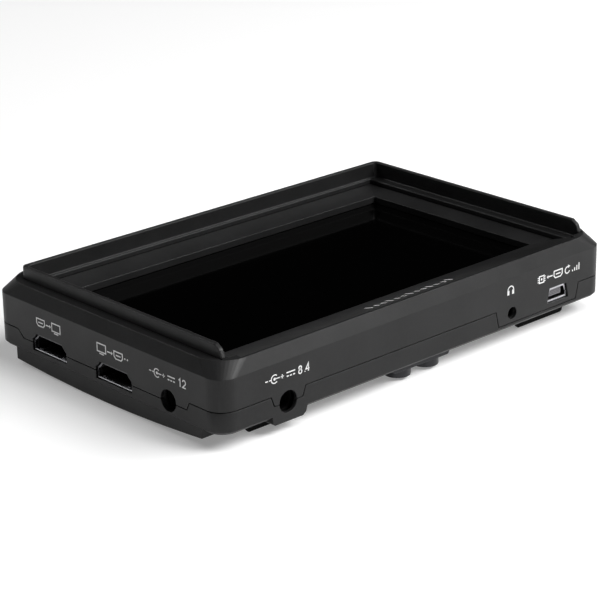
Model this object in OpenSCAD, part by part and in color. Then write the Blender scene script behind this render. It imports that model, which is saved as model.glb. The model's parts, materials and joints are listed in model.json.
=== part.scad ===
// Field monitor for a camera, lying on its back with the screen up.
// X runs along the long side, Y away from the near long edge, Z up through the screen.
// The near long edge is the lower edge of the monitor in use, so the keys are on the far edge.

/* [Case] */
// Width of the case
case_w = 150; // [140:1:170]
// Depth of the case from the near edge to the far edge
case_d = 96.8; // [92:0.2:110]
// Thickness of the case from the top face to the flat back
case_t = 19.1; // [18.5:0.1:22]
// Radius of the upright corners
corner_r = 5.5; // [4:0.5:8]
// Radius of the corners of the top face
top_corner_r = 9; // [6:0.5:12]
// How far the top bevel steps in
bevel_in = 1.9; // [1:0.1:2.5]
// Height of the top bevel
bevel_h = 3.75; // [2.5:0.25:4.5]
// Chamfer round the flat back
base_chamfer = 0.8; // [0.4:0.1:1.2]
// Wall of the case
wall = 2; // [1.8:0.1:2.4]
// Thickness of the floor of the rear cover
floor_t = 1.3; // [1:0.1:1.6]
// Height of the front housing above the parting line
front_h = 12.6; // [12:0.1:13.5]
// Gap that shows at the parting line
seam_gap = 0.3; // [0.2:0.05:0.4]
// Drop of the parting line round the side ports
side_dip = 2.2; // [1.5:0.1:2.5]
// Drop of the parting line round the power output
edge_dip = 2.9; // [2:0.1:3.2]
// Drop of the parting line round the two small ports
port_dip = 4.8; // [4:0.1:4.9]
// Depth of the raised back panel at its middle
back_swell = 4.6; // [3.6:0.1:4.7]
// How much less deep the back panel is at its ends
back_arch = 1.6; // [1:0.1:1.8]
// How much the near end of the back panel is less deep than its far end, each side of the middle
back_tilt = 0.4; // [0:0.05:0.5]
// Distance from the near edge to the raised back panel
back_near = 8.4; // [8:0.1:9.5]
// Distance from the far edge to the raised back panel
back_far = 8.4; // [8:0.1:10]
// Height of the feet below the flat back
foot_drop = 4.8; // [4.7:0.1:6]

/* [Screen] */
// Width of the window over the picture
screen_w = 119.2; // [114:0.2:120]
// Height of the window over the picture
screen_h = 65.1; // [62:0.1:66.5]
// How far the middle of the window lies nearer than the middle of the case
screen_shift = 0.3; // [0:0.1:1]
// Depth of the window edge below the top face
window_drop = 4; // [3.6:0.1:4]
// Height of the upright edge of the window
window_lip = 2.1; // [1.8:0.1:2.1]
// How far the cover glass reaches under the frame
glass_lap = 3; // [2:0.1:4]
// Thickness of the cover glass
glass_t = 1.1; // [0.8:0.1:1.1]
// Thickness of the picture panel
panel_t = 2.4; // [2:0.1:2.4]
// How far the picture panel is smaller than the glass, each side
panel_inset = 0.8; // [0.5:0.1:1.5]
// Thickness of the metal tray behind the panel
tray_t = 0.6; // [0.5:0.1:0.6]

/* [Hood] */
// Distance of the hood from the sides of the case
hood_side = 5; // [4.4:0.1:6]
// Distance of the hood from the far edge of the case
hood_far = 6.1; // [5.4:0.1:8]
// Distance of the ends of the hood from the near edge
hood_near = 4.8; // [4.2:0.1:6]
// Height of the hood above the top face
hood_rise = 3.6; // [3:0.1:12]
// Wall of the hood
hood_wall = 1.5; // [1.2:0.1:1.8]
// Width of the flange inside the sides of the hood
flange_w = 3.1; // [2.6:0.1:3.4]
// Width of the flange inside the far side of the hood
flange_far = 0.8; // [0.6:0.1:1.4]
// Thickness of the flange
flange_t = 1.75; // [1.4:0.05:2]
// Depth of the channel that the hood stands in
channel_drop = 3.1; // [2.8:0.1:3.4]
// Clearance round the foot of the hood
hood_fit = 0.15; // [0.1:0.05:0.3]
// Radius of the corners of the hood
hood_r = 2; // [1.5:0.5:3.5]
// Slant of the near ends of the hood
hood_slant = 2.9; // [1:0.1:3.5]

/* [Ports] */
// Depth of the port centres below the top face
port_drop = 14.65; // [14.4:0.05:14.8]
// Distance from the far edge to the video input
video_in_far = 24.8; // [23:0.1:27]
// Distance from the near edge to the video output
video_out_near = 43.6; // [42:0.1:46]
// Distance from the near edge to the power input
power_in_near = 20.7; // [19:0.1:22]
// Distance from the left side to the power output
power_out_side = 23.1; // [21:0.1:25]
// Depth of the power output below the top face
power_out_drop = 15.5; // [15:0.1:16]
// Distance from the right side to the earphone jack
earphone_side = 40.3; // [38:0.1:43]
// Distance from the right side to the service socket
service_side = 20.5; // [19:0.1:23]
// Depth of the service socket below the top face
service_drop = 13.8; // [13.5:0.1:14.2]
// Width of a video socket
video_w = 15; // [14:0.1:16]
// Height of a video socket
video_h = 4.8; // [4.6:0.1:5.2]
// Length of a video socket
video_l = 11; // [10:0.1:12]
// Sheet of a socket shell
shell_t = 0.35; // [0.3:0.05:0.4]
// Radius of the hole of a power jack
jack_r = 3.1; // [2.8:0.1:3.3]
// Depth of the hole of a power jack
jack_l = 8.4; // [8:0.1:9]
// Wall of a power jack
jack_wall = 0.8; // [0.6:0.1:1]
// How far the centre pin of a power jack lies back from its mouth
pin_back = 2.8; // [2.6:0.1:3.2]
// Radius of the centre pin of a power jack
pin_r = 1.05; // [0.9:0.05:1.25]
// Radius of the earphone bore
phone_r = 1.8; // [1.78:0.01:1.84]
// Length of the earphone bore
phone_l = 12; // [11:0.5:13]
// Width of the service socket
service_w = 8.6; // [8:0.1:9]
// Height of the service socket
service_h = 4.2; // [4:0.1:4.4]
// Rim of the service socket
service_rim = 0.6; // [0.5:0.05:0.7]
// How far the sockets lie back from the face of the case
port_back = 0.6; // [0.4:0.1:0.9]
// Clearance of a port in its hole
port_fit = 0.2; // [0.1:0.05:0.3]

/* [Keys] */
// Number of keys on the far edge
key_count = 6; // [6:1:6]
// Distance between the keys
key_pitch = 13; // [12:0.5:15]
// Width of a key
key_w = 8; // [6:0.5:9]
// Height of a key
key_h = 3.2; // [2.6:0.1:3.6]
// Depth of the key centres below the top face
key_drop = 8.2; // [7.8:0.1:8.6]
// Depth of the strip that the keys stand in
key_recess = 0.7; // [0.5:0.1:0.9]
// How far a key stands out of the strip
key_proud = 0.6; // [0.4:0.1:0.7]
// Travel of a key
key_travel = 0.4; // [0.3:0.05:0.5]
// Clearance of a key in its hole
key_fit = 0.12; // [0.08:0.01:0.2]

/* [Battery plate] */
// Width of the battery plate
plate_w = 39.4; // [38:0.1:42]
// Distance from the near edge to the battery plate
plate_near = 18.9; // [17:0.1:22]
// Thickness of the battery plate
plate_t = 1.5; // [1.2:0.1:1.8]
// Width of a rail of the battery plate
rail_w = 2; // [1.6:0.1:2.4]
// Length of a hook on a rail
hook_l = 6; // [4:0.5:8]
// Reach of a hook
hook_reach = 1.3; // [1:0.1:1.6]
// Clearance round the battery plate
plate_fit = 0.15; // [0.1:0.05:0.3]
// Width of the battery latch
latch_w = 9; // [7:0.5:11]
// Length of the battery latch
latch_l = 6; // [5:0.5:7]
// Travel of the battery latch
latch_travel = 0.8; // [0.5:0.05:0.9]

/* [Arm mount] */
// Distance between the two bosses
boss_pitch = 11; // [10:0.1:13]
// Radius of a boss
boss_r = 3.8; // [3.4:0.1:4.2]
// Distance of the bosses from the near edge
boss_near = 6.2; // [5.6:0.1:6.6]
// Height of the bosses below the flat back
boss_drop = 4; // [3.2:0.1:4.4]
// Radius of the threaded hole in a boss
thread_r = 1.65; // [1.25:0.05:2]
// Depth of the threaded hole
thread_l = 6; // [5:0.1:6.4]
// Width of the mount plate
mount_w = 23; // [21:0.5:27]
// Thickness of the mount plate
mount_t = 1.6; // [1.2:0.1:2]

/* [Hidden] */

eps = 0.01;
$fn = 48;

// Heights above the surface that the feet stand on
back_z = foot_drop;
top_z = back_z + case_t;
seam_z = top_z - front_h;
port_z = top_z - port_drop;
power_out_z = top_z - power_out_drop;
service_z = top_z - service_drop;
glass_z = top_z - window_drop - window_lip;
panel_z = glass_z - glass_t - 0.1;
tray_z = panel_z - panel_t - tray_t - 0.1;
board_t = 1.2;
board_z = port_z + video_h / 2 + 0.05;
floor_z = back_z + floor_t;
swell_z = back_z - back_swell;
key_z = top_z - key_drop;

// Places in plan
half_w = case_w / 2;
half_d = case_d / 2;
screen_y = -screen_shift;
glass_w = screen_w + 2 * glass_lap;
glass_h = screen_h + 2 * glass_lap;
hood_x = half_w - hood_side;
hood_y = half_d - hood_far;
hood_end = -half_d + hood_near;
inner_x = hood_x - hood_wall - flange_w - hood_fit;
inner_y = hood_y - hood_wall - flange_far - hood_fit;
back_y0 = -half_d + back_near;
back_y1 = half_d - back_far;
plate_y0 = -half_d + plate_near;
video_in_y = half_d - video_in_far;
video_out_y = -half_d + video_out_near;
power_in_y = -half_d + power_in_near;
power_out_x = -half_w + power_out_side;
earphone_x = half_w - earphone_side;
service_x = half_w - service_side;
// The round jacks stand just behind the wall
jack_back = wall + 0.7;
jack_end = jack_back + jack_l + 1.5;
plate_z = back_z - 1.9;
lip_t = wall / 2;
lip_rise = 1.4;
cavity_z = max(glass_z + 0.1, key_z + key_h / 2 + 0.6);

// Screws of the case
screw_r = 1.25;
screw_head_r = 2.4;
screw_head_h = 1.8;
pillar_r = 3;
case_screw_x = half_w - wall - pillar_r - 0.6;
case_screw_y = [back_y0 + 4.2, back_y1 - 3.9];
case_screw_seat = back_z + 0.4;

// Outline with round corners
module round_rect(w, d, r) {
    square([w - 2 * r, d], center = true);
    square([w, d - 2 * r], center = true);
    for (x = [-1, 1])
        for (y = [-1, 1])
            translate([x * (w / 2 - r), y * (d / 2 - r)])
                circle(r);
}

module case_slab(inset, z0, z1, r = corner_r) {
    translate([0, 0, z0])
        linear_extrude(z1 - z0)
            round_rect(case_w - 2 * inset, case_d - 2 * inset, max(r - inset, 1));
}

module box(x0, x1, y0, y1, z0, z1) {
    translate([x0, y0, z0])
        cube([x1 - x0, y1 - y0, z1 - z0]);
}

// A shape drawn in Y and Z, swept along X
module sweep_x(x0, x1) {
    translate([x0, 0, 0])
        rotate([90, 0, 90])
            linear_extrude(x1 - x0)
                children();
}

// A shape drawn in X and Z, swept along Y
module sweep_y(y0, y1) {
    translate([0, y1, 0])
        rotate([90, 0, 0])
            linear_extrude(y1 - y0)
                children();
}

// Side view of a tongue of the front housing that reaches down round a port
module tongue_shape(a, b, dip, slant, grow) {
    polygon([
        [a - grow, seam_z + 1], [a - grow, seam_z], [a + 1.2 - grow, seam_z - dip - grow],
        [b - slant + grow, seam_z - dip - grow], [b + grow, seam_z], [b + grow, seam_z + 1]
    ]);
}

side_tongue = [power_in_y - 8.4, video_in_y + 14.3];
power_tongue = [power_out_x - 5.8, power_out_x + 6.2];
right_tongue = [earphone_x - 6.7, service_x + 8.9];

module tongues(grow) {
    t = lip_t + (grow > 0 ? 0.05 : 0);
    sweep_x(-half_w - 1, -half_w + t)
        tongue_shape(side_tongue[0], side_tongue[1], side_dip, 2.6, grow);
    sweep_y(-half_d - 1, -half_d + t) {
        tongue_shape(power_tongue[0], power_tongue[1], edge_dip, 1.2, grow);
        tongue_shape(right_tongue[0], right_tongue[1], port_dip, 1.2, grow);
    }
}

// D shape of a video socket, narrow side up
module video_shape(grow) {
    w = video_w / 2 + grow;
    h = video_h / 2 + grow;
    step = 1.9;
    polygon([
        [-w, -h], [w, -h], [w, h - step], [w - step * 0.7, h - step * 0.45], [w - step, h],
        [-w + step, h], [-w + step * 0.7, h - step * 0.45], [-w, h - step]
    ]);
}

module service_shape(grow) {
    w = service_w / 2 + grow;
    h = service_h / 2 + grow;
    step = 0.85;
    polygon([[-w, -h], [w, -h], [w, -h + 0.9], [w - step, h], [-w + step, h], [-w, -h + 0.9]]);
}

// Holes for the ports, through the walls of both shells
module port_holes() {
    for (y = [video_in_y, video_out_y])
        translate([0, y, port_z])
            sweep_x(-half_w - 1, -half_w + wall + 1)
                video_shape(port_fit);
    translate([-half_w - 1, power_in_y, port_z])
        rotate([0, 90, 0])
            cylinder(r = jack_r, h = wall + 2);
    translate([power_out_x, -half_d + wall + 1, power_out_z])
        rotate([90, 0, 0])
            cylinder(r = jack_r, h = wall + 2);
    translate([earphone_x, -half_d + wall + 1, port_z])
        rotate([90, 0, 0])
            cylinder(r = phone_r + 0.05, h = wall + 2);
    translate([service_x, 0, service_z])
        sweep_y(-half_d - 1, -half_d + wall + 1)
            service_shape(port_fit);
}

// Channel for the foot of the hood: two arms and a far bar
module hood_channel() {
    x = hood_x + hood_fit;
    y = hood_y + hood_fit;
    z = top_z - channel_drop;
    difference() {
        translate([0, 0, z])
            linear_extrude(channel_drop + 1)
                intersection() {
                    translate([0, y - case_d / 2])
                        round_rect(2 * x, case_d, hood_r + hood_fit);
                    translate([-x, hood_end - hood_fit])
                        square([2 * x, y - hood_end + hood_fit]);
                }
        box(-inner_x, inner_x, hood_end - 1, inner_y, z - 1, top_z + 2);
    }
}

// Hollow over the screen, with sloping sides and an upright edge round the window
module screen_funnel() {
    side_z = top_z - channel_drop + 0.3;
    low_z = top_z - window_drop;
    near_y = -half_d + bevel_in + 0.8;
    y0 = screen_y - screen_h / 2;
    y1 = screen_y + screen_h / 2;
    intersection() {
        sweep_x(-inner_x, inner_x)
            polygon([
                [y0, low_z - eps], [y1, low_z - eps], [inner_y, side_z], [inner_y, top_z + 1],
                [near_y, top_z + 1], [near_y, top_z]
            ]);
        sweep_y(-half_d, half_d)
            polygon([
                [-screen_w / 2, low_z - eps], [screen_w / 2, low_z - eps], [inner_x, side_z],
                [inner_x, top_z + 1], [-inner_x, top_z + 1], [-inner_x, side_z]
            ]);
    }
    box(-screen_w / 2, screen_w / 2, y0, y1, glass_z - 1, low_z + 0.01);
}

strip_w = key_count * key_pitch + 8;
strip_x0 = -strip_w / 2;
function key_x(i) = (i - (key_count - 1) / 2) * key_pitch;

module key_slots() {
    y = half_d - key_recess;
    box(strip_x0, strip_x0 + strip_w, y, half_d + 1, key_z - key_h / 2 - 0.8, key_z + key_h / 2 + 0.8);
    for (i = [0 : key_count - 1])
        box(key_x(i) - key_w / 2 - key_fit, key_x(i) + key_w / 2 + key_fit, half_d - wall - 1, half_d,
            key_z - key_h / 2 - key_fit, key_z + key_h / 2 + key_fit);
    translate([strip_x0 + 3, half_d + eps, key_z])
        rotate([90, 0, 0])
            cylinder(r = 0.8 + key_fit, h = wall + 1);
}

module front_housing() color("#2b2c2e") {
    pillar_low = case_screw_seat + floor_t + 1.2;
    difference() {
        union() {
            hull() {
                case_slab(0, seam_z, top_z - bevel_h);
                case_slab(bevel_in, top_z - 0.05, top_z, top_corner_r + bevel_in);
            }
            intersection() {
                case_slab(0, seam_z - port_dip, seam_z + eps);
                tongues(0);
            }
        }
        case_slab(wall, seam_z - 5, cavity_z);
        case_slab(lip_t, seam_z - 5, seam_z + lip_rise + 0.2);
        hood_channel();
        screen_funnel();
        port_holes();
        key_slots();
    }
    for (x = [-case_screw_x, case_screw_x])
        for (y = case_screw_y)
            translate([x, y, pillar_low])
                difference() {
                    cylinder(r = pillar_r, h = cavity_z - pillar_low + 0.3);
                    translate([0, 0, -1])
                        cylinder(r = screw_r + 0.03, h = cavity_z - pillar_low);
                }
}

// Side view of the raised back panel, deepest at its middle
module swell_shape(grow) {
    n = 16;
    y0 = back_y0 + grow;
    y1 = back_y1 - grow;
    arc = [for (i = [0 : n])
        let (s = 2 * i / n - 1)
            [y0 + (y1 - y0) * i / n, swell_z + grow + back_arch * s * s - back_tilt * s]];
    polygon(concat([[y1, floor_z + eps], [y0, floor_z + eps]], arc));
}

bump_x = [power_out_x - 5.6, power_out_x + 7.6];
bump_l = 13.5;
bump_z = back_z - 1.9;

module power_bump(grow) {
    sweep_y(-half_d + grow, -half_d + bump_l - grow)
        polygon([
            [bump_x[0] + grow, back_z + 3], [bump_x[0] + 0.3 + grow, bump_z + 0.6 + grow],
            [bump_x[0] + 0.9 + grow, bump_z + grow], [bump_x[1] - 2.4 - grow, bump_z + grow],
            [bump_x[1] - 1.3 - grow, bump_z + 0.8 + grow], [bump_x[1] - grow, back_z + 3]
        ]);
}

vent_n = 8;
vent_pitch = 4.2;
vent_l = 24;
vent_x = (case_w / 2 + plate_w / 2) / 2;

module rear_cover() color("#242527") {
    panel_x = half_w - 0.6;
    bay_x = plate_w / 2 + plate_fit;
    room_x0 = bay_x + 1.6;
    room_x1 = panel_x - wall;
    notch = jack_r + 0.6;
    difference() {
        union() {
            case_slab(0, back_z + base_chamfer, seam_z - seam_gap);
            hull() {
                case_slab(0, back_z + base_chamfer, back_z + base_chamfer + 0.05);
                case_slab(base_chamfer, back_z, back_z + 0.05);
            }
            case_slab(lip_t + 0.12, back_z + base_chamfer, seam_z + lip_rise);
            sweep_x(-panel_x, panel_x)
                swell_shape(0);
            power_bump(0);
        }
        tongues(seam_gap);
        difference() {
            union() {
                case_slab(wall, floor_z, seam_z + 5);
                // room inside the raised panel, beside the battery bay
                intersection() {
                    for (s = [-1, 1])
                        translate([s * (room_x0 + room_x1) / 2, 0, 0])
                            box(-(room_x1 - room_x0) / 2, (room_x1 - room_x0) / 2,
                                back_y0 + 1.5, back_y1 - 1.5, swell_z - 1, floor_z + eps);
                    sweep_x(-panel_x, panel_x)
                        swell_shape(1.5);
                }
                intersection() {
                    power_bump(1);
                    box(bump_x[0], bump_x[1], -half_d + wall, half_d, 0, floor_z + eps);
                }
            }
            // cup over the latch spring, standing on the floor
            translate([0, latch_y, plate_z])
                cylinder(r = 3.2, h = spring_top + 0.8 - plate_z);
            // bosses round the case screws
            for (x = [-case_screw_x, case_screw_x])
                for (y = case_screw_y)
                    translate([x, y, swell_z])
                        cylinder(r = screw_head_r + 1.2, h = case_screw_seat + floor_t - swell_z + 1);
        }
        for (x = [-case_screw_x, case_screw_x])
            for (y = case_screw_y)
                translate([x, y, swell_z - 1]) {
                    cylinder(r = screw_head_r + 0.2, h = case_screw_seat - swell_z + 1);
                    cylinder(r = screw_r + 0.15, h = case_t);
                }
        port_holes();
        // the wall is open above the power output, under the tongue of the front housing
        box(power_out_x - notch, power_out_x + notch, -half_d - 1, -half_d + wall + 1,
            power_out_z, seam_z + lip_rise + 1);
        // square notch behind the round mouth, through the inner half of the wall
        box(power_out_x - notch, power_out_x + notch, -half_d + lip_t + 0.12, -half_d + wall + 1,
            power_out_z - jack_r - 0.3, power_out_z + 1);
        // bay for the battery plate, open at the far end
        box(-bay_x, bay_x, plate_y0 - plate_fit, back_y1 + 1, swell_z - 1, plate_z + plate_t);
        box(-8, 8, plate_y0 + 6, plate_y0 + 14, plate_z, floor_z + 1);
        // pocket and spring cup of the latch
        box(-latch_w / 2 - latch_rim - 0.2, latch_w / 2 + latch_rim + 0.2, latch_y - latch_l / 2 - 0.2,
            latch_y + latch_l / 2 + 0.2, plate_z, latch_top + latch_travel + 0.1);
        translate([0, latch_y, plate_z])
            cylinder(r = 2, h = spring_top - plate_z);
        for (p = plate_screw_xy)
            translate([p[0], p[1], plate_z])
                cylinder(r = 1.15, h = plate_t + 1.2);
        // room for the arm mount in the raised panel
        box(-mount_w / 2 - 0.2, mount_w / 2 + 0.2, -half_d, boss_y + boss_r + 0.4, swell_z - 1, back_z);
        for (s = [-1, 1])
            for (i = [0 : vent_n - 1])
                box(s * vent_x - vent_l / 2, s * vent_x + vent_l / 2,
                    -2 + (i - (vent_n - 1) / 2) * vent_pitch, -0.4 + (i - (vent_n - 1) / 2) * vent_pitch,
                    swell_z - 1, swell_z + 3);
        for (s = [-1, 1])
            translate([s * boss_pitch / 2, boss_y, back_z - 1])
                cylinder(r = boss_r - 0.8 + 0.1, h = 4);
    }
}

module cover_glass() color("#101114") {
    translate([0, screen_y, glass_z - glass_t])
        linear_extrude(glass_t)
            round_rect(glass_w, glass_h, 1.8);
}

module picture_panel() color("#17181c") {
    translate([0, screen_y, panel_z - panel_t])
        linear_extrude(panel_t)
            square([glass_w - 2 * panel_inset, glass_h - 2 * panel_inset], center = true);
}

// Metal tray with turned up sides, on short studs that the board screws reach through
module panel_tray() color("#8d9094") difference() {
    union() {
        translate([0, screen_y, tray_z])
            difference() {
                linear_extrude(tray_t + 1.6)
                    square([tray_w, tray_h], center = true);
                translate([0, 0, tray_t])
                    linear_extrude(3)
                        square([tray_w - 2 * tray_t, tray_h - 2 * tray_t], center = true);
                for (x = [-30, 0, 30])
                    translate([x, 0, -1])
                        cylinder(r = 5, h = 3);
            }
        for (p = board_screw_xy)
            translate([p[0], p[1], board_z + board_t])
                cylinder(r = 1.9, h = tray_z - board_z - board_t + 0.2);
    }
    for (p = board_screw_xy)
        translate([p[0], p[1], board_z])
            cylinder(r = 1.05, h = case_t);
}

tray_w = glass_w - 2 * panel_inset + 0.4 + 2 * tray_t;
tray_h = glass_h - 2 * panel_inset + 0.4 + 2 * tray_t;
tray_y1 = screen_y + tray_h / 2;
// The main board reaches past the tray, far enough for the ribbon
board_y0 = -half_d + wall + 2.4;
board_y1 = tray_y1 + 3.15;
board_screw_x = tray_w / 2 - 6;
board_screw_y = [-half_d + jack_end + 4.95, tray_y1 - 6];
board_screw_xy = [for (x = [-board_screw_x, board_screw_x]) for (y = board_screw_y) [x, y]];

module board_cut() {
    // room for the power jacks, which are taller than the sockets
    body = jack_r + jack_wall + 0.05;
    box(-half_w, -half_w + jack_end + 0.05, case_screw_y[0], power_in_y + body, 0, top_z);
    box(power_out_x - body, power_out_x + body, -half_d, -half_d + jack_end + 0.05, 0, top_z);
    // notch for the top of the service socket
    notch = service_w / 2 - 0.65;
    box(service_x - notch, service_x + notch, -half_d, -half_d + port_back + 9.1, 0, top_z);
}

module main_board() color("#1f5a3a") {
    w = case_w - 2 * wall - 6;
    difference() {
        box(-w / 2, w / 2, board_y0, board_y1, board_z, board_z + board_t);
        board_cut();
        for (x = [-case_screw_x, case_screw_x])
            for (y = case_screw_y)
                translate([x, y, 0])
                    cylinder(r = pillar_r + 0.8, h = top_z);
        for (p = board_screw_xy)
            translate([p[0], p[1], 0])
                cylinder(r = 1.2, h = top_z);
    }
    // chips on the underside
    box(-12, 4, 4, 20, board_z - 1.4, board_z);
    box(14, 24, -6, 4, board_z - 1.1, board_z);
    box(-34, -26, -22, -10, board_z - 1.1, board_z);
}

module board_screws() color("#9a9da1") {
    for (p = board_screw_xy)
        translate([p[0], p[1], board_z - 1.1]) {
            cylinder(r = 2, h = 1.1);
            cylinder(r = 1, h = 1.1 + board_t + 1.1);
        }
}

module heat_spreader() color("#b0b3b6") {
    box(-14, 6, 2, 22, board_z - 2.6, board_z - 1.5);
    for (i = [0 : 5])
        box(-13.6 + i * 3.7, -12.6 + i * 3.7, 2, 22, board_z - 3.3, board_z - 2.5);
}

module ribbon_cable() color("#b9823c") {
    y = board_y1;
    box(-14, 14, y + 0.6, y + 0.9, board_z + board_t - 0.2, tray_z + 1.2);
    box(-14, 14, y - 5, y + 0.9, board_z + board_t + 0.02, board_z + board_t + 0.3);
    box(-14, 14, tray_y1 + 0.15, y + 0.9, tray_z + 0.9, tray_z + 1.2);
}

module video_socket(y) {
    x = -half_w + port_back;
    translate([0, y, port_z]) {
        difference() {
            sweep_x(x, x + video_l)
                video_shape(0);
            sweep_x(x - 1, x + video_l - 1)
                video_shape(-shell_t);
        }
        box(x + 4.7, x + video_l - 0.9, -5.6, 5.6, -0.5, 0.5);
    }
}

module video_in_socket() color("#a9adb1") video_socket(video_in_y);
module video_out_socket() color("#a9adb1") video_socket(video_out_y);

// Round jack with its mouth at the origin, looking back along Z
module power_jack() {
    body = jack_r + jack_wall;
    difference() {
        union() {
            cylinder(r = body, h = jack_l + 1.5);
            translate([-body, -body, 1])
                cube([2 * body, 2 * body, jack_l + 0.5]);
        }
        translate([0, 0, -1])
            cylinder(r = jack_r, h = jack_l + 1);
    }
    translate([0, 0, pin_back])
        cylinder(r = pin_r, h = jack_l - pin_back + 0.5);
}

module power_in_jack() color("#18191a") {
    translate([-half_w + jack_back, power_in_y, port_z])
        rotate([0, 90, 0])
            power_jack();
}

module power_out_jack() color("#18191a") {
    translate([power_out_x, -half_d + jack_back, power_out_z])
        rotate([-90, 0, 0])
            power_jack();
}

module earphone_jack() color("#18191a") {
    body = video_h / 2;
    translate([earphone_x, -half_d + jack_back, port_z])
        rotate([-90, 0, 0])
            difference() {
                union() {
                    cylinder(r = body, h = phone_l + 1);
                    translate([-3, -body, 1])
                        cube([6, 2 * body, phone_l]);
                }
                translate([0, 0, -1])
                    cylinder(r = phone_r, h = phone_l + 1);
            }
}

module service_socket() color("#c4c7ca") {
    y = -half_d + port_back;
    translate([service_x, 0, service_z]) {
        difference() {
            sweep_y(y, y + 9)
                service_shape(0);
            sweep_y(y - 1, y + 8)
                service_shape(-service_rim);
        }
        box(-2.6, 2, y + 1, y + 8.2, -0.3, 1);
    }
}

// Key switches on a narrow board behind the keys
switch_y = half_d - wall - 1.1 - key_travel - 0.15;

module key_board() color("#1f5a3a") {
    x = strip_w / 2 - 1;
    box(-x, x, switch_y - 2.4, switch_y - 1.2, board_z + board_t - 0.5, key_z + 2);
    for (i = [0 : key_count - 1])
        translate([key_x(i), switch_y - 1.3, key_z])
            rotate([-90, 0, 0])
                cylinder(r = 1.6, h = 1.3);
    // two arms carry the board on the far edge of the main board
    for (s = [-1, 1])
        box(s * 30 - 2, s * 30 + 2, tray_y1 + 0.4, switch_y - 2.3,
            board_z + board_t + 0.02, board_z + board_t + 1);
}

module status_light() color("#d8dde2") {
    translate([strip_x0 + 3, half_d - key_recess + 0.2, key_z])
        rotate([90, 0, 0])
            cylinder(r = 0.8, h = half_d - key_recess + 0.2 - switch_y + 1.15);
}

module key_cap(i) color("#1c1d1f") {
    y1 = half_d - key_recess + key_proud;
    y0 = half_d - wall - 0.15;
    x = key_x(i);
    box(x - key_w / 2, x + key_w / 2, y0, y1, key_z - key_h / 2, key_z + key_h / 2);
    box(x - key_w / 2 - 0.8, x + key_w / 2 + 0.8, y0 - 0.8, y0,
        key_z - key_h / 2 - 0.6, key_z + key_h / 2 + 0.6);
}

module power_key() key_cap(0);
module menu_key() key_cap(1);
module exit_key() key_cap(2);
module left_key() key_cap(3);
module right_key() key_cap(4);
module source_key() key_cap(5);

// Plan of the hood, set in by a wall, open past the near ends
module hood_plan(inset, r) {
    intersection() {
        translate([0, hood_y - inset - case_d / 2])
            round_rect(2 * (hood_x - inset), case_d, r);
        translate([-hood_x, hood_end])
            square([2 * hood_x, 2 * case_d]);
    }
}

// Three-sided hood with a flange inside its foot
module hood_frame() color("#2d2e30") {
    foot_z = top_z - channel_drop + 0.1;
    flange_z = foot_z + flange_t;
    rim_z = top_z + hood_rise;
    difference() {
        translate([0, 0, foot_z])
            linear_extrude(rim_z - foot_z)
                hood_plan(0, hood_r);
        translate([0, 0, flange_z])
            linear_extrude(case_t)
                hood_plan(hood_wall, max(hood_r - hood_wall, 1));
        // open near side, and the hole inside the flange
        box(-hood_x + hood_wall + flange_w, hood_x - hood_wall - flange_w, hood_end - 1,
            hood_y - hood_wall - flange_far, 0, flange_z + eps);
        box(-hood_x + hood_wall, hood_x - hood_wall, hood_end - 1, 0, flange_z, 2 * top_z);
        // slanted near ends
        sweep_x(-case_w, case_w)
            polygon([
                [hood_end - 1, top_z + 0.4], [hood_end, top_z + 0.4],
                [hood_end + hood_slant * 0.35, rim_z - 1.2], [hood_end + hood_slant, rim_z + eps],
                [hood_end + hood_slant, rim_z + 2], [hood_end - 1, rim_z + 2]
            ]);
    }
}

latch_y = back_y1 - 9;

module battery_plate() color("#1b1c1e") {
    w = plate_w / 2;
    rail_z = swell_z + 0.5;
    lock_z = rail_z + 0.9;
    difference() {
        box(-w, w, plate_y0, back_y1 - 0.4, plate_z, plate_z + plate_t - 0.05);
        box(-latch_w / 2 - 0.15, latch_w / 2 + 0.15, latch_y - latch_l / 2 - 0.15,
            latch_y + latch_l / 2 + 0.15, 0, top_z);
        box(-7.2, 7.2, plate_y0 + 2, plate_y0 + 12, 0, top_z);
        for (p = plate_screw_xy)
            translate([p[0], p[1], plate_z - 1])
                cylinder(r = 1.3, h = 5);
    }
    for (s = [-1, 1]) {
        x0 = s > 0 ? w - rail_w : -w;
        box(x0, x0 + rail_w, plate_y0, back_y1 - 0.4, rail_z, plate_z + eps);
        for (y = [plate_y0 + 6, (plate_y0 + back_y1) / 2, back_y1 - 8])
            box(s > 0 ? w - rail_w - hook_reach : -w, s > 0 ? w : -w + rail_w + hook_reach,
                y - hook_l / 2, y + hook_l / 2, rail_z, lock_z);
    }
    box(-w, w, plate_y0, plate_y0 + 1.6, rail_z, plate_z + eps);
}

plate_screw_xy = [for (x = [-12, 12]) for (y = [plate_y0 + 8, back_y1 - 16]) [x, y]];

module plate_screws() color("#8f9296") {
    for (p = plate_screw_xy)
        translate([p[0], p[1], plate_z - 0.9]) {
            cylinder(r = 2.1, h = 0.9);
            cylinder(r = 1.1, h = plate_t + 0.85 + 1.1);
        }
}

module battery_terminals() color("#3a3b3d") {
    difference() {
        box(-7, 7, plate_y0 + 2.2, plate_y0 + 11.8, swell_z + 1.4, plate_z + plate_t - 0.1);
        for (x = [-4, 4])
            box(x - 0.7, x + 0.7, plate_y0 + 5, plate_y0 + 13, swell_z + 1, plate_z - 0.4);
    }
    box(-6, 6, plate_y0 + 7, plate_y0 + 11, plate_z + plate_t - 0.2, floor_z + 0.6);
}

// The latch hangs by its flange in a pocket over the battery plate
latch_flange_t = 0.4;
latch_rim = 1.2;
latch_top = plate_z + plate_t + latch_flange_t;
spring_top = floor_z + 1.65;

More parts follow.
